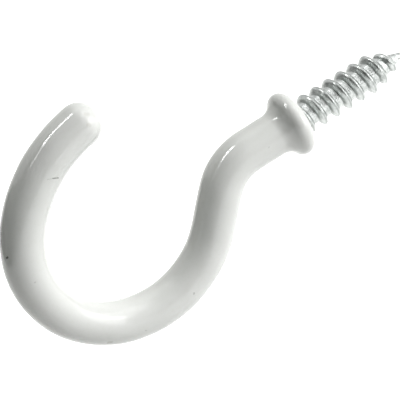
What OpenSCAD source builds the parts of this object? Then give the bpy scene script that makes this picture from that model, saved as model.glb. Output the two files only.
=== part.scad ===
// Shouldered cup hook: one piece of steel wire with a shoulder and a wood-screw thread, dip-coated in
// white plastic from the shoulder to the tip. All sizes are in millimetres.
// X runs along the screw into the wall, Z is up, and the hook lies in the XZ plane.
// The origin is the centre of the seat, where the shoulder meets the wall.

/* [Wire] */
// Diameter of the bare wire
wire_d = 4; // [3.4:0.1:4.4]
// Thickness of the coating on the wire
coat_t = 0.5; // [0.3:0.05:0.7]

/* [Hook] */
// Straight neck, from the seat to the first bend
neck_l = 7.1; // [6:0.1:10]
// Centreline radius of the bend after the neck
neck_bend_r = 5.9; // [4.5:0.1:8]
// Angle of the bend after the neck
neck_bend_a = 55; // [45:1:65]
// Straight stretch between that bend and the bowl
link_l = 4.3; // [1:0.1:8]
// Centreline radius of the bowl
bowl_r = 11.7; // [9:0.1:16]
// Angle of the bowl
bowl_a = 178; // [150:1:200]
// Centreline radius of the wider arc that carries the tip
tip_r = 15.5; // [12:0.1:20]
// Angle of the arc that carries the tip
tip_a = 47; // [20:1:55]

/* [Shoulder] */
// Outer diameter of the coated shoulder
shoulder_d = 7.8; // [7.6:0.1:9]
// Radius of the shoulder's rounded rim
rim_r = 1.1; // [1:0.05:1.2]
// Radius of the concave flare between the neck and the rim
flare_r = 2; // [1.5:0.1:3]
// Thickness of the coating on the back of the steel disc inside the shoulder
back_t = 0.3; // [0.2:0.05:0.4]
// Diameter of the uncoated round on the back of that disc
bare_d = 4.7; // [4.6:0.1:5]

/* [Screw] */
// Length of the screw, from the seat to its point
screw_l = 14.7; // [12:0.1:20]
// Diameter over the thread's crests
crest_d = 4.4; // [4:0.1:4.5]
// Diameter of the core between the flights
core_d = 3; // [2.4:0.1:3.2]
// Distance between neighbouring flights
pitch = 1.75; // [1.6:0.05:1.9]
// Width of a flight at its foot
foot_w = 1.1; // [0.7:0.05:1.2]
// Length of the point, over which the core narrows
point_l = 4.3; // [3:0.1:6]
// Bare length at the very point, where the thread has run out
bare_point_l = 1.2; // [0.8:0.1:2]

/* [Hidden] */
$fn = 64;

wire_r = wire_d / 2;
coated_r = wire_r + coat_t;
shoulder_r = shoulder_d / 2;
// How far a stretch of rod reaches into the one before it, and how much thinner its radius is
lap = 0.05;
hair = 0.01;

// Middle of the rim's rounding, as a distance from the axis and behind the seat
rim_mid = [shoulder_r - rim_r, rim_r];
// Middle of the flare's circle, which touches the coated neck and the rim's circle
flare_out = coated_r + flare_r;
flare_mid = [flare_out, rim_r + sqrt((flare_r + rim_r) ^ 2 - (flare_out - rim_mid[0]) ^ 2)];
// Where the two circles touch
touch = rim_mid + (flare_mid - rim_mid) * rim_r / (flare_r + rim_r);
// The steel disc fills the rim's rounding, with its two edges this deep under the coating
edge_t = 0.15;
disc_t = 2 * (rim_r - back_t);
disc_r = rim_mid[0] + sqrt(rim_r ^ 2 - (rim_r - back_t) ^ 2) - edge_t;

// The thread is a skin of lines along the screw. Each turn adds the points of one flight to every line,
// and a line's x moves on by one pitch in a full turn to the right.
turn_seg = 32;
// Angle from Y towards Z of the first line, and where its first flight begins, inside the shoulder
first_a = -65;
first_x = -1.3;
// Points across a flight's rounded section: place across the foot, and share of the flight's height.
// It is a half sine made a little blunter by this power.
flight_pts = 8;
blunt = 0.8;
flight = [for (i = [0:flight_pts - 1]) let (u = i / (flight_pts - 1)) [u, pow(sin(180 * u), blunt)]];
// The flights are lower on the point by this share, and run out over this length
low = 1 / 3;
runout_l = 0.6;
// The core narrows on the point with this power of the way, down to a blunt nose of this radius
ogive = 1.2;
nose_r = 0.35;
// Length of the plain core behind the first flight
back_l = 0.1;
// Where the point begins, where the thread has run out, and where the nose's rounding begins
point_x = screw_l - point_l;
runout_x = screw_l - bare_point_l;
nose_x = screw_l - nose_r;
// Angles up the nose's rounding, from its start to just short of the very tip
nose_a = [0, 30, 60];
turns = floor((nose_x - first_x - foot_w) / pitch);
line_pts = turns * flight_pts;

// Share of the way from x0 to x1 that x has come
function ramp(x, x0, x1) = min(1, max(0, (x - x0) / (x1 - x0)));

// Radius of the core: a cylinder, then an ogive to the nose
function core_at(x) = nose_r + (core_d / 2 - nose_r) * (1 - pow(ramp(x, point_x, nose_x), ogive));

// Height of the flights: full, lower on the point, then running out
function flight_at(x) = (crest_d - core_d) / 2
    * (1 - low * ramp(x, point_x, point_x + pitch))
    * (1 - ramp(x, runout_x - runout_l, runout_x));

// Point at radius r on line number j
function line_point(j, x, r) =
    let (a = first_a + 360 * j / turn_seg) [x, r * cos(a), r * sin(a)];

// Point number m of the thread on line number j
function thread_point(j, m) =
    let (part = flight[m % flight_pts],
         x = first_x + pitch * (floor(m / flight_pts) + j / turn_seg) + foot_w * part[0])
    line_point(j, x, core_at(x) + flight_at(x) * part[1]);

// Threaded screw with its point, as one closed skin
module screw() {
    lines = [for (j = [0:turn_seg - 1], m = [0:line_pts - 1]) thread_point(j, m)];
    back_ring = [for (j = [0:turn_seg - 1]) line_point(j, first_x - back_l, core_d / 2)];
    nose_rings = [
        for (a = nose_a, j = [0:turn_seg - 1]) line_point(j, nose_x + nose_r * sin(a), nose_r * cos(a)),
    ];
    // Numbers of the points in the joined list
    t = function(j, m) j * line_pts + m;
    b = function(j) len(lines) + j;
    c = function(j, ring = 0) len(lines) + turn_seg * (1 + ring) + j;
    tip = len(lines) + turn_seg + len(nose_rings);
    last = turn_seg - 1;
    end = line_pts - 1;
    faces = [
        // Skin between neighbouring lines
        for (j = [0:last - 1], m = [0:line_pts - 2]) each
            [[t(j, m), t(j, m + 1), t(j + 1, m + 1)], [t(j, m), t(j + 1, m + 1), t(j + 1, m)]],
        for (j = [0:last - 1]) each
            [[b(j), t(j, 0), t(j + 1, 0)], [b(j), t(j + 1, 0), b(j + 1)]],
        for (j = [0:last - 1]) each
            [[t(j, end), c(j), c(j + 1)], [t(j, end), c(j + 1), t(j + 1, end)]],
        // Between the last line and the first, which is one turn ahead
        for (m = [0:end - flight_pts - 1]) each
            [[t(last, m), t(last, m + 1), t(0, m + flight_pts + 1)],
             [t(last, m), t(0, m + flight_pts + 1), t(0, m + flight_pts)]],
        [b(last), t(0, 0), b(0)],
        for (m = [0:flight_pts - 1]) [b(last), t(0, m + 1), t(0, m)],
        [b(last), t(last, 0), t(0, flight_pts)],
        for (m = [end - flight_pts:end - 1]) [t(last, m), t(last, m + 1), t(0, end)],
        [t(last, end), c(0), t(0, end)],
        [t(last, end), c(last), c(0)],
        // Flat end inside the shoulder, the nose's rounding and the very tip
        [for (j = [0:last]) b(j)],
        for (ring = [0:len(nose_a) - 2], j = [0:last]) let (k = (j + 1) % turn_seg) each
            [[c(j, ring), c(j, ring + 1), c(k, ring + 1)], [c(j, ring), c(k, ring + 1), c(k, ring)]],
        for (j = [0:last]) [c(j, len(nose_a) - 1), tip, c((j + 1) % turn_seg, len(nose_a) - 1)],
    ];
    polyhedron(concat(lines, back_ring, nose_rings, [[screw_l, 0, 0]]), faces, convexity = 12);
}

// Straight rod of length l along -X, then the rest of the rod. Each stretch of rod starts a little inside
// the one before it and is a hair thinner, so that no two round faces coincide.
module run(r, l) {
    translate([lap, 0, 0]) rotate([0, -90, 0]) cylinder(r = r, h = l + lap);
    translate([-l, 0, 0]) children();
}

// Rod bent down through angle a, then the rest of the rod
module bend(r, bend_r, a) {
    back_a = lap / bend_r * 180 / PI;
    translate([0, 0, -bend_r]) {
        rotate([90, 0, 0]) rotate_extrude(angle = a + back_a, start = 90 - back_a)
            translate([bend_r, 0]) circle(r);
        rotate([0, -a, 0]) translate([0, 0, bend_r]) children();
    }
}

// The whole bent rod, from a distance behind the seat to its rounded tip
module rod(r, from) {
    translate([-from, 0, 0])
        run(r, neck_l - from)
        bend(r - hair, neck_bend_r, neck_bend_a)
        mirror([0, 0, 1])
        run(r - 2 * hair, link_l)
        bend(r - 3 * hair, bowl_r, bowl_a)
        bend(r - 4 * hair, tip_r, tip_a)
        translate([lap, 0, 0]) sphere(r - 5 * hair);
}

// Wire and shoulder disc
module blank() {
    rod(wire_r, back_t + disc_t - lap);
    translate([-back_t, 0, 0]) rotate([0, -90, 0]) cylinder(r = disc_r, h = disc_t);
}

module steel_hook() {
    color("silver") {
        blank();
        screw();
    }
}

// Trumpet of coating over the shoulder: a concave flare that ends in a rounded rim
module coated_shoulder() {
    rotate([0, -90, 0]) rotate_extrude() {
        difference() {
            polygon([
                [0, 0], [rim_mid[0], 0], rim_mid, touch, [coated_r, flare_mid[1]], [0, flare_mid[1]],
            ]);
            translate(flare_mid) circle(flare_r);
        }
        translate(rim_mid) circle(rim_r);
    }
}

module coating() {
    color("white") difference() {
        union() {
            rod(coated_r, flare_mid[1] - lap);
            coated_shoulder();
        }
        blank();
        // Bare round on the back of the disc
        rotate([0, -90, 0]) cylinder(d = bare_d, h = back_t);
    }
}

steel_hook();
coating();
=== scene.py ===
"""Looks of a shouldered cup hook, white-coated wire with a bright zinc screw, on the CAD model's frame.

Sizes of the hook are in millimetres, in the CAD frame: X runs along the screw into the wall, Z is up,
and the hook lies in the XZ plane. MM turns them into Blender's metres.
"""

import math

import bmesh
import bpy
import numpy as np
from mathutils import Matrix, Vector


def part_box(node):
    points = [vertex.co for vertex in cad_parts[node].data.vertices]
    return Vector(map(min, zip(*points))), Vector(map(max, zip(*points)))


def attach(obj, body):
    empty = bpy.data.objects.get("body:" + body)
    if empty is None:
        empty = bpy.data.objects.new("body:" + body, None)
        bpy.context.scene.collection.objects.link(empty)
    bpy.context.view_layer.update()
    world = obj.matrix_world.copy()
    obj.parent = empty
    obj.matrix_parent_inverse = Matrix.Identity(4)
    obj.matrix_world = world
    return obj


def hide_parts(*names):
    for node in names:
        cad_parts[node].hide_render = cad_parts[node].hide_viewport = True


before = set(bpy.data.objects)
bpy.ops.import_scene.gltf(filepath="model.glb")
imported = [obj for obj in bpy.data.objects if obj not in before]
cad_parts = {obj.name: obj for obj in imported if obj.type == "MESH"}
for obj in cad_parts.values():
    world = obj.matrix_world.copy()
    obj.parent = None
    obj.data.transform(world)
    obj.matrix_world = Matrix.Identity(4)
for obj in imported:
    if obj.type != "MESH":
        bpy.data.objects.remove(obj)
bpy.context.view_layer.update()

MM = 0.001

# --- Sizes, as in the CAD model ---

SCREW_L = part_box("steel_hook")[1].x / MM
SHOULDER_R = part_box("coating")[1].y / MM
WIRE_R = 2.0
COATED_R = 2.5

# The wire's centreline from the seat: a straight neck, a bend down, a straight link, the bowl, and the
# wider arc that carries the tip
NECK_L = 7.1
NECK_BEND_R = 5.9
NECK_BEND_A = math.radians(55)
LINK_L = 4.3
BOWL_R = 11.7
BOWL_A = math.radians(178)
TIP_R = 15.5
TIP_A = math.radians(47)

# The shoulder: its rounded rim, the concave flare, the coating on the back of the steel disc inside,
# the bare round there, and how deep the disc's edges lie under the rim
RIM_R = 1.1
FLARE_R = 2.0
BACK_T = 0.3
BARE_R = 2.35
EDGE_T = 0.15

# The screw's crests, core, pitch and the foot of a flight, then its point, the bare length at its end,
# the length over which the flights run out before that, and the blunt nose
CREST_R = 2.2
CORE_R = 1.5
PITCH = 1.75
FOOT_W = 1.1
POINT_L = 4.3
BARE_POINT_L = 1.2
RUNOUT_L = 0.6
NOSE_R = 0.35
# Powers that make a flight's half sine blunter and that round the point
BLUNT = 0.8
OGIVE = 1.2
# The flights are lower on the point by this share
LOW = 1 / 3
# Angle from Y towards Z, and x, at which the first flight begins, inside the shoulder
FLIGHT_A = math.radians(-65)
FLIGHT_X = -1.3

# --- Finer form, in the dressed hook alone ---

# A bend starts and ends gradually, over this length to each side
EASE_L = 0.8
# The dipped coating is this uneven in thickness, in waves that set in behind the shoulder
WAVE_T = 0.02
WAVE_START = 4.0
WAVE_FULL = 7.0
# Each wave's share, how it turns along the wire per mm, how often it goes round, and its phase
WAVES = ((0.5, 0.9, 1, 0), (0.3, 1.7, -2, 1), (0.2, 0.43, 0, 2))

# --- Fineness of the meshes ---

SIDES = 96
# Distance between rings, outside and inside the coating
OUTER_STEP = 0.25
INNER_STEP = 0.5
# Rings round the rim, along the flare and round the nose, and rows of points across a flight
RIM_RINGS = 29
FLARE_RINGS = 20
NOSE_RINGS = 9
FLIGHT_ROWS = 15
# Places of the rows on the core between two flights, as shares of its width
CORE_ROWS = np.array((0.25, 0.5, 0.75))
# Angles of the rings over the ball of the tip, up to its pole
BALL_A = np.radians(np.arange(5, 91, 5))
# Points along the centreline, and those over which a heading is averaged
WIRE_POINTS = 1321
EASE_POINTS = 17
# Edges sharper than this stay sharp
COATING_SHARP_A = math.radians(50)
STEEL_SHARP_A = math.radians(60)
# Points closer than this become one, in metres
WELD = 1e-6

# --- Mesh helpers ---

# Share of a turn at each point of a ring, and its angle from the ring's side direction. The last point
# lies on the first, where the flights begin.
TURN = np.arange(SIDES + 1) / SIDES
AROUND = FLIGHT_A - math.pi / 2 + 2 * math.pi * TURN
ACROSS = np.array((0.0, 1.0, 0.0))
UP = np.array((0.0, 0.0, 1.0))


def ramp(x, start, end):
    """Share of the way from start to end that x has come."""
    return np.clip((x - start) / (end - start), 0, 1)


def ring(centre, normal, radius):
    """Points round centre, in mm, where normal is the side direction in the hook's plane."""
    spokes = np.outer(np.cos(AROUND), normal) - np.outer(np.sin(AROUND), ACROSS)
    return np.asarray(centre) + np.reshape(radius, (-1, 1)) * spokes


def neck_ring(x, radius):
    """A ring round the screw's axis, where x and radius may differ from point to point."""
    return ring(np.stack([x + 0 * AROUND, 0 * AROUND, 0 * AROUND], axis=1), UP, radius)


def skin(name, grids, sharp_angle):
    """A closed mesh from grids of points in mm: a row is a ring, and a row of equal points is a pole."""
    bm = bmesh.new()
    for grid in grids:
        rows = [[bm.verts.new(Vector(point) * MM) for point in row] for row in grid]
        for low, high in zip(rows, rows[1:]):
            for j in range(SIDES):
                bm.faces.new((low[j], low[j + 1], high[j + 1], high[j]))
    bmesh.ops.remove_doubles(bm, verts=bm.verts, dist=WELD)
    bmesh.ops.dissolve_degenerate(bm, edges=bm.edges, dist=WELD)
    bmesh.ops.recalc_face_normals(bm, faces=bm.faces)
    mesh = bpy.data.meshes.new(name)
    bm.to_mesh(mesh)
    bm.free()
    mesh.shade_smooth()
    mesh.set_sharp_from_angle(angle=sharp_angle)
    piece = bpy.data.objects.new(name, mesh)
    bpy.context.scene.collection.objects.link(piece)
    return piece


# --- The wire's centreline ---


def centreline():
    """Lengths along the wire to the tip's ball, and the heading below -X, x and z at each of them."""
    stretches = (
        (NECK_L, 0),
        (NECK_BEND_R * NECK_BEND_A, NECK_BEND_A),
        (LINK_L, 0),
        (BOWL_R * BOWL_A, -BOWL_A),
        (TIP_R * TIP_A, -TIP_A),
    )
    ends = np.cumsum([0] + [length for length, turn in stretches])
    turned = np.cumsum([0] + [turn for length, turn in stretches])
    along = np.linspace(0, ends[-1], WIRE_POINTS)
    offsets = np.linspace(-EASE_L, EASE_L, EASE_POINTS)
    heading = np.mean([np.interp(along + offset, ends, turned) for offset in offsets], axis=0)
    step = along[1]
    x = -np.cumsum(np.cos(heading)) * step
    z = -np.cumsum(np.sin(heading)) * step
    return along, heading, x - x[0], z - z[0]


WIRE = centreline()
WIRE_L = WIRE[0][-1]


def on_wire(length):
    """Point, side direction in the hook's plane and running direction at this length along the wire."""
    heading, x, z = (np.interp(length, WIRE[0], column) for column in WIRE[1:])
    point = np.array((x, 0, z))
    normal = np.array((-math.sin(heading), 0, math.cos(heading)))
    run = np.array((-math.cos(heading), 0, -math.sin(heading)))
    return point, normal, run


def wave(length):
    """Height of the waves, from -1 to 1, at the points of a ring at this length along the wire."""
    height = sum(
        share * np.sin(pace * length + times * AROUND + phase) for share, pace, times, phase in WAVES
    )
    return ramp(length, WAVE_START, WAVE_FULL) * height


def wire_rings(radius, start, step, wave_t=0):
    """Rings along the wire from start to its end, and over the ball of the tip to its pole."""
    rings = []
    for length in np.linspace(start, WIRE_L, round((WIRE_L - start) / step) + 1):
        point, normal, run = on_wire(length)
        rings.append(ring(point, normal, radius + wave_t * wave(length)))
    for angle in BALL_A:
        across = (radius + wave_t * wave(WIRE_L)) * math.cos(angle)
        rings.append(ring(point + run * radius * math.sin(angle), normal, across))
    return rings


# --- Coating ---

# Middles of the rim's rounding and of the flare's circle: distances from the axis and behind the seat
RIM_OUT = SHOULDER_R - RIM_R
FLARE_OUT = COATED_R + FLARE_R
FLARE_BACK = RIM_R + math.sqrt((FLARE_R + RIM_R) ** 2 - (FLARE_OUT - RIM_OUT) ** 2)
# Direction from the one middle to the other, in which the two circles touch
TOUCH_A = math.atan2(FLARE_OUT - RIM_OUT, FLARE_BACK - RIM_R)
# The steel disc's radius, and its front as distance behind the seat
DISC_R = RIM_OUT + math.sqrt(RIM_R**2 - (RIM_R - BACK_T) ** 2) - EDGE_T
DISC_BACK = 2 * RIM_R - BACK_T


def shoulder_rings():
    """Rings from the flat seat round the rim and along the flare to the neck."""
    rings = [neck_ring(0, radius) for radius in (BARE_R, (BARE_R + RIM_OUT) / 2)]
    for angle in np.linspace(math.pi, TOUCH_A, RIM_RINGS):
        x = -RIM_R - RIM_R * math.cos(angle)
        rings.append(neck_ring(x, RIM_OUT + RIM_R * math.sin(angle)))
    for angle in np.linspace(TOUCH_A + math.pi, 1.5 * math.pi, FLARE_RINGS)[1:]:
        x = -FLARE_BACK - FLARE_R * math.cos(angle)
        rings.append(neck_ring(x, FLARE_OUT + FLARE_R * math.sin(angle)))
    return rings


def make_coating():
    """The coating's outside, and the inside that fits the disc and the wire, as one closed skin."""
    outside = shoulder_rings() + wire_rings(COATED_R, FLARE_BACK + OUTER_STEP, OUTER_STEP, WAVE_T)
    recess = ((BACK_T, BARE_R), (BACK_T, DISC_R), (DISC_BACK, DISC_R), (DISC_BACK, WIRE_R))
    inside = [neck_ring(-back, radius) for back, radius in recess]
    inside += wire_rings(WIRE_R, DISC_BACK + INNER_STEP, INNER_STEP)
    return skin("coating_skin", [inside[::-1] + outside], COATING_SHARP_A)


# --- Steel ---


def core_at(x):
    """Radius of the core: a cylinder, then an ogive to the nose."""
    narrowed = ramp(x, SCREW_L - POINT_L, SCREW_L - NOSE_R) ** OGIVE
    return NOSE_R + (CORE_R - NOSE_R) * (1 - narrowed)


def flight_at(x):
    """Height of the flights: full, lower on the point, then running out."""
    point_x = SCREW_L - POINT_L
    runout_x = SCREW_L - BARE_POINT_L
    lowered = 1 - LOW * ramp(x, point_x, point_x + PITCH)
    return (CREST_R - CORE_R) * lowered * (1 - ramp(x, runout_x - RUNOUT_L, runout_x))


def thread_grid():
    """Rows that move on by one pitch in a full turn, so that they follow the flights."""
    on_core = 1 + (PITCH / FOOT_W - 1) * CORE_ROWS
    across = np.concatenate([np.linspace(0, 1, FLIGHT_ROWS), on_core])
    share = np.sin(np.pi * np.minimum(across, 1)) ** BLUNT
    turns = np.arange(-1, math.ceil((SCREW_L - FLIGHT_X) / PITCH))
    row_x = (FLIGHT_X + PITCH * turns[:, None] + FOOT_W * across).ravel()
    row_share = np.tile(share, len(turns))
    grid = []
    for start in row_x:
        x = np.clip(start + PITCH * TURN, -BACK_T, SCREW_L - NOSE_R)
        radius = core_at(x) + flight_at(x) * np.interp(x - PITCH * TURN, row_x, row_share)
        grid.append(neck_ring(x, radius))
    return grid


def make_steel():
    """Screw, disc and wire as one closed skin."""
    thread = thread_grid()
    nose = [thread[-1]]
    for angle in np.linspace(0, math.pi / 2, NOSE_RINGS)[1:]:
        x = SCREW_L - NOSE_R * (1 - math.sin(angle))
        nose.append(neck_ring(x, NOSE_R * math.cos(angle)))
    disc = [
        thread[0],
        neck_ring(-BACK_T, DISC_R),
        neck_ring(-DISC_BACK, DISC_R),
        neck_ring(-DISC_BACK, WIRE_R),
    ]
    wire = wire_rings(WIRE_R, DISC_BACK + INNER_STEP, INNER_STEP)
    return skin("steel_skin", [thread, nose, disc + wire], STEEL_SHARP_A)


# --- Node helpers ---


def new_material(name):
    """A material, its node tree and its principled shader."""
    material = bpy.data.materials.new(name)
    material.use_nodes = True
    return material, material.node_tree, material.node_tree.nodes["Principled BSDF"]


def add(tree, kind, *sources, **settings):
    """A new node: settings are its own, and sources go into its inputs in order, as links or values."""
    node = tree.nodes.new(kind)
    for key, value in settings.items():
        setattr(node, key, value)
    for socket, source in zip(node.inputs, sources):
        if isinstance(source, bpy.types.NodeSocket):
            tree.links.new(source, socket)
        else:
            socket.default_value = source
    return node


def math_of(tree, operation, *sources):
    """Result of a math node."""
    return add(tree, "ShaderNodeMath", *sources, operation=operation).outputs[0]


def vector_of(tree, operation, *sources):
    """Results of a vector math node: its vector, then its number."""
    return add(tree, "ShaderNodeVectorMath", *sources, operation=operation).outputs


def noise(tree, place, scale, detail, roughness=0.5):
    """Noise from 0 to 1, with features of 1/scale metres."""
    node = add(tree, "ShaderNodeTexNoise", place)
    node.inputs["Scale"].default_value = scale
    node.inputs["Detail"].default_value = detail
    node.inputs["Roughness"].default_value = roughness
    return node.outputs["Fac"]


def spread(tree, value, low, high, start=0.0, end=1.0):
    """Value from low to high brought to start to end, and held there outside."""
    return add(tree, "ShaderNodeMapRange", value, low, high, start, end).outputs[0]


def blend(tree, share, first, second):
    """Colour between two colours."""
    node = add(tree, "ShaderNodeMix", data_type="RGBA")
    for name, source in (("Factor_Float", share), ("A_Color", first), ("B_Color", second)):
        socket = next(found for found in node.inputs if found.identifier == name)
        if isinstance(source, bpy.types.NodeSocket):
            tree.links.new(source, socket)
        else:
            socket.default_value = (*source, 1)
    return next(found for found in node.outputs if found.identifier == "Result_Color")


def bump(tree, height, distance, normal=None):
    """Bumped normal: a height of 1 stands distance metres out."""
    node = add(tree, "ShaderNodeBump")
    node.inputs["Distance"].default_value = distance
    tree.links.new(height, node.inputs["Height"])
    if normal:
        tree.links.new(normal, node.inputs["Normal"])
    return node.outputs[0]


# --- The coating's plastic ---

# Scales of its noises, per metre: patches, grain, orange peel and the ragged edges of the marks
PATCHES = 130
GRAIN = 2600
PEEL = 600
RAGGED = 5000
# Heights of its bumps, and how far the edges of the marks wander
PEEL_T = 0.004
GRAIN_T = 0.001
RAGGED_T = 0.04
# Colours of the patches, and of the grain with its share at most
PATCH_COLOURS = ((0.785, 0.795, 0.775), (0.815, 0.82, 0.805))
GRAIN_COLOUR = (0.72, 0.73, 0.68)
GRAIN_SHARE = 0.25
PLASTIC_ROUGHNESS = (0.08, 0.15)
PLASTIC_IOR = 1.5
# A mark is full up to the first share of its half width, and gone beyond the second
MARK_SHARES = (0.5, 1.3)
DARK = (0.09, 0.09, 0.075)
WARM = (0.42, 0.40, 0.33)
# Specks and smudges. Where each begins and ends is a length along the wire in mm and degrees round it,
# from the top of the neck towards -Y. Then come half its width in mm, its strength and its colour.
MARKS = (
    ((59.85, 85), (60.15, 70), 0.075, 0.7, DARK),
    ((59.5, 97), (59.8, 86), 0.05, 0.2, DARK),
    ((50.7, 153), (50.6, 157), 0.13, 0.85, DARK),
    ((47.7, 95), (47.7, 97), 0.09, 0.25, DARK),
    ((24.7, 93), (24.6, 91), 0.1, 0.35, DARK),
    ((31.4, 105), (31.3, 107), 0.1, 0.2, DARK),
    ((35.4, 128), (35.1, 127), 0.2, 0.5, WARM),
    ((67.2, 130), (67.4, 126), 0.25, 0.25, WARM),
    ((66.6, 105), (66.7, 101), 0.22, 0.3, WARM),
    ((5.4, 80), (5.5, 82), 0.07, 0.2, DARK),
)


def on_coating(length, degrees):
    """A place on the coating, in metres: lengths beyond the wire's end run on over the tip's ball."""
    point, normal, run = on_wire(length)
    angle = math.radians(degrees)
    over = max(length - WIRE_L, 0) / COATED_R
    side = math.cos(angle) * normal - math.sin(angle) * ACROSS
    spoke = math.cos(over) * side + math.sin(over) * run
    return Vector(point + COATED_R * spoke) * MM


def mark(tree, place, start, end, width):
    """Mask of a soft mark round the line from start to end."""
    line = end - start
    apart = vector_of(tree, "SUBTRACT", place, start)[0]
    share = vector_of(tree, "DOT_PRODUCT", apart, line / line.length_squared)["Value"]
    nearest = add(tree, "ShaderNodeVectorMath", line, operation="SCALE")
    tree.links.new(spread(tree, share, 0, 1), nearest.inputs["Scale"])
    distance = vector_of(tree, "DISTANCE", apart, nearest.outputs[0])["Value"]
    full, gone = MARK_SHARES
    return spread(tree, distance, width * full, width * gone, 1, 0)


def coating_material():
    """White dip-coated plastic: patches, a fine grain, an uneven gloss and a few specks and smudges."""
    material, tree, shader = new_material("white_coating")
    place = add(tree, "ShaderNodeTexCoord").outputs["Object"]
    patches = noise(tree, place, PATCHES, 2)
    grain = noise(tree, place, GRAIN, 2)
    peel = noise(tree, place, PEEL, 2)
    white = blend(tree, spread(tree, patches, 0.3, 0.7), *PATCH_COLOURS)
    white = blend(tree, spread(tree, grain, 0.5, 0.8, 0, GRAIN_SHARE), white, GRAIN_COLOUR)
    shift = add(tree, "ShaderNodeTexNoise", place, normalize=False)
    shift.inputs["Scale"].default_value = RAGGED
    wander = (RAGGED_T * MM,) * 3
    ragged = vector_of(tree, "MULTIPLY_ADD", shift.outputs["Color"], wander, place)[0]
    for start, end, width, strength, colour in MARKS:
        mask = mark(tree, ragged, on_coating(*start), on_coating(*end), width * MM)
        white = blend(tree, math_of(tree, "MULTIPLY", mask, strength), white, colour)
    tree.links.new(white, shader.inputs["Base Color"])
    roughness = spread(tree, peel, 0.3, 0.7, *PLASTIC_ROUGHNESS)
    tree.links.new(roughness, shader.inputs["Roughness"])
    shader.inputs["IOR"].default_value = PLASTIC_IOR
    normal = bump(tree, peel, PEEL_T * MM)
    tree.links.new(bump(tree, grain, GRAIN_T * MM, normal), shader.inputs["Normal"])
    return material


# --- The screw's zinc ---

# Scales of its noises, per metre: mottling, speckles and fine lines, and how the lines are drawn out
# round the screw
MOTTLE = 1900
SPECKLE = 7000
LINES = 15000
DRAWN_OUT = (1, 0.12, 0.12)
# Heights of its bumps
LINES_T = 0.03
SPECKLE_T = 0.015
# Colours of the mottling and of the painted shade lines, and that of the speckles with their share at
# most
ZINC_COLOURS = ((0.41, 0.43, 0.42), (0.67, 0.69, 0.68))
PAINTED_SHADE_COLOUR = (0.14, 0.15, 0.14)
SPECKLE_COLOUR = (0.30, 0.33, 0.31)
SPECKLE_SHARE = 0.55
ZINC_ROUGHNESS = (0.27, 0.37)
ZINC_METALLIC = 0.9
# Painted shade lines, as shade at the root and a dark reflection on the crest: how far into a flight each
# lies, half its width, its strength
PAINTED_SHADE_LINES = ((0.05, 0.13, 0.38), (FOOT_W / 2, 0.14, 0.45))
# A painted shade line is full up to this distance from its middle
PAINTED_SHADE_FULL = 0.05


def helix_distance(tree, place, start):
    """Distance in metres along the screw to a line that winds this far into the flights."""
    x, y, z = add(tree, "ShaderNodeSeparateXYZ", place).outputs
    turn = math_of(tree, "MULTIPLY", math_of(tree, "ARCTAN2", z, y), PITCH * MM / (2 * math.pi))
    offset = FLIGHT_X + start - PITCH * FLIGHT_A / (2 * math.pi)
    flat = math_of(tree, "SUBTRACT", math_of(tree, "SUBTRACT", x, turn), offset * MM)
    return math_of(tree, "PINGPONG", flat, PITCH * MM / 2)


def zinc_material():
    """Bright zinc plating: mottled, with fine lines round the screw, painted shade on the roots and a
    painted dark reflection on the crests.
    """
    material, tree, shader = new_material("zinc_steel")
    place = add(tree, "ShaderNodeTexCoord").outputs["Object"]
    mottle = noise(tree, place, MOTTLE, 4, 0.65)
    speckle = noise(tree, place, SPECKLE, 2)
    lines = noise(tree, vector_of(tree, "MULTIPLY", place, DRAWN_OUT)[0], LINES, 1)
    grey = blend(tree, spread(tree, mottle, 0.35, 0.65), *ZINC_COLOURS)
    # Painted shade along the roots and a painted dark reflection along the crests, darkening the zinc's
    # colour
    for start, width, strength in PAINTED_SHADE_LINES:
        distance = helix_distance(tree, place, start)
        line = spread(tree, distance, PAINTED_SHADE_FULL * MM, width * MM, strength, 0)
        grey = blend(tree, line, grey, PAINTED_SHADE_COLOUR)
    grey = blend(tree, spread(tree, speckle, 0.5, 0.75, 0, SPECKLE_SHARE), grey, SPECKLE_COLOUR)
    tree.links.new(grey, shader.inputs["Base Color"])
    shader.inputs["Metallic"].default_value = ZINC_METALLIC
    roughness = spread(tree, mottle, 0.3, 0.7, *ZINC_ROUGHNESS)
    tree.links.new(roughness, shader.inputs["Roughness"])
    normal = bump(tree, lines, LINES_T * MM)
    tree.links.new(bump(tree, speckle, SPECKLE_T * MM, normal), shader.inputs["Normal"])
    return material


# --- Studio, in metres ---

# The camera's place, its lens in mm, where it looks, and roughly what points up in its picture
CAMERA_PLACE = (-0.0688, -0.1866, 0.1101)
LENS = 180
SENSOR_W = 36
LOOK = Vector((0.2418, 0.8316, -0.5)).normalized()
TILTED_UP = Vector((0.519, 0.3246, 0.7908))
# Its axes
RIGHT = LOOK.cross(TILTED_UP).normalized()
UPWARD = RIGHT.cross(LOOK)

# The lamps and cards stand round this point. Their directions are given to the camera's right, up, and
# back towards the camera.
HOOK_MIDDLE = Vector((-0.0117, 0, 0.0014))
LAMP_DISTANCE = 0.6
# Lamps: name, direction, the way that its height runs, width, height and brightness
LAMPS = (
    ("key", (0.92, 0.15, 0.35), (0, 1, 0), 0.4, 0.5, 3.8),
    ("corner", (0.55, 0.65, 0.45), (-0.7, 0.55, 0.1), 0.36, 0.6, 2.1),
    ("top", (-0.05, 0.9, 0.5), (-1, 0, 0), 0.7, 0.7, 0.57),
    ("front", (0.5, 0.25, 0.85), (0, 1, 0), 0.35, 0.35, 0.8),
)
# Narrow lamps that only show in the gloss, as the long highlights
STRIPS = (
    ("strip", (-0.6, 0.67, 0.43), (0.5, 0.56, -0.1), 0.035, 0.26, 38),
    ("long_strip", (-0.62, 0.58, 0.5), (0.45, 0.62, -0.15), 0.03, 0.44, 12),
)
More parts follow.
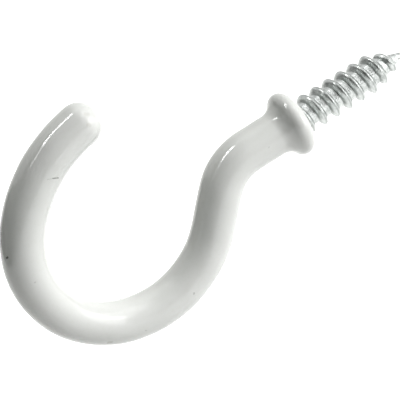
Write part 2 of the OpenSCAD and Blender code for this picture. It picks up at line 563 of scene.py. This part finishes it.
# Cards that darken the hook's front and its far left, from behind the camera and beside the hook: name,
# direction, distance, width and colour
CARDS = (
    ("dark_card", (-0.2, -0.1, 0.97), 0.8, 4, (0.08, 0.085, 0.078)),
    ("side_card", (-0.95, -0.3, -0.15), 0.35, 0.4, (0.2, 0.2, 0.2)),
)
# Colour and strength of the world's light on the hook
FILL_COLOUR = (0.99, 1.01, 0.955, 1)
FILL = 0.7
FLOOR_Z = -0.06
FLOOR_W = 6
FLOOR_COLOUR = (0.8, 0.8, 0.8)
WHITE = (1, 1, 1, 1)


def in_view(direction):
    """A direction to the camera's right, up and back, in the CAD frame."""
    return RIGHT * direction[0] + UPWARD * direction[1] - LOOK * direction[2]


def studio_place(direction, distance, upward=(0, 1, 0)):
    """A place in that direction from the hook, turned to face it with its Y side towards upward."""
    back = in_view(direction).normalized()
    side = in_view(upward).cross(back).normalized()
    turned = Matrix((side, back.cross(side), back)).transposed().to_4x4()
    return Matrix.Translation(HOOK_MIDDLE + back * distance) @ turned


def make_camera():
    """A long lens from in front, above and a little to the left, so that the screw points up right."""
    data = bpy.data.cameras.new("camera")
    data.lens = LENS
    data.sensor_width = SENSOR_W
    camera = bpy.data.objects.new("camera", data)
    bpy.context.scene.collection.objects.link(camera)
    turned = Matrix((RIGHT, UPWARD, -LOOK)).transposed().to_4x4()
    camera.matrix_world = Matrix.Translation(CAMERA_PLACE) @ turned
    bpy.context.scene.camera = camera


def softbox(name, direction, upward, width, height, brightness):
    """An area light that faces the hook, and is equally bright all over whatever its size."""
    data = bpy.data.lights.new(name, "AREA")
    data.shape = "RECTANGLE"
    data.size = width
    data.size_y = height
    data.energy = brightness * math.pi * width * height
    light = bpy.data.objects.new(name, data)
    light.matrix_world = studio_place(direction, LAMP_DISTANCE, upward)
    light.visible_camera = False
    bpy.context.scene.collection.objects.link(light)
    return light


def matt_square(name, place, width, colour):
    """A flat matt square, its node tree and its shader."""
    half = width / 2
    corners = [(-half, -half, 0), (half, -half, 0), (half, half, 0), (-half, half, 0)]
    mesh = bpy.data.meshes.new(name)
    mesh.from_pydata(corners, [], [(0, 1, 2, 3)])
    square = bpy.data.objects.new(name, mesh)
    square.matrix_world = place
    bpy.context.scene.collection.objects.link(square)
    material, tree, shader = new_material(name)
    shader.inputs["Base Color"].default_value = (*colour, 1)
    shader.inputs["Roughness"].default_value = 1
    shader.inputs["Specular IOR Level"].default_value = 0
    mesh.materials.append(material)
    return square, tree, shader


def plain_card(name, direction, distance, width, colour):
    """A flat card that the hook sees but no camera does."""
    card = matt_square(name, studio_place(direction, distance), width, colour)[0]
    card.visible_camera = False


def backdrop_rays(tree):
    """1 for the rays that should see the white backdrop: from the camera, off gloss and through glass."""
    path = add(tree, "ShaderNodeLightPath").outputs
    seen = math_of(tree, "MAXIMUM", path["Is Camera Ray"], path["Is Glossy Ray"])
    return math_of(tree, "MAXIMUM", seen, path["Is Transmission Ray"])


def make_world():
    """White where it is seen, and a fill light of lower strength on the hook."""
    world = bpy.data.worlds.new("world")
    bpy.context.scene.world = world
    world.use_nodes = True
    tree = world.node_tree
    tree.nodes.remove(tree.nodes["Background"])
    lighting = add(tree, "ShaderNodeBackground", FILL_COLOUR, FILL).outputs[0]
    seen = add(tree, "ShaderNodeBackground", WHITE, 1.0).outputs[0]
    mix = add(tree, "ShaderNodeMixShader", backdrop_rays(tree), lighting, seen).outputs[0]
    tree.links.new(mix, tree.nodes["World Output"].inputs["Surface"])


def make_floor():
    """A pale floor below the hook, that takes its shadow and looks as white as the backdrop."""
    place = Matrix.Translation((0, 0, FLOOR_Z))
    floor, tree, shader = matt_square("floor", place, FLOOR_W, FLOOR_COLOUR)
    shader.inputs["Emission Color"].default_value = WHITE
    tree.links.new(backdrop_rays(tree), shader.inputs["Emission Strength"])


# --- Build ---

make_camera()

coating = make_coating()
coating.data.materials.append(coating_material())
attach(coating, "root")
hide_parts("coating")

steel = make_steel()
steel.data.materials.append(zinc_material())
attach(steel, "root")
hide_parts("steel_hook")

make_world()
make_floor()
for lamp in LAMPS:
    softbox(*lamp)
for strip in STRIPS:
    softbox(*strip).visible_diffuse = False
for card in CARDS:
    plain_card(*card)
bpy.context.scene.view_settings.view_transform = "Standard"
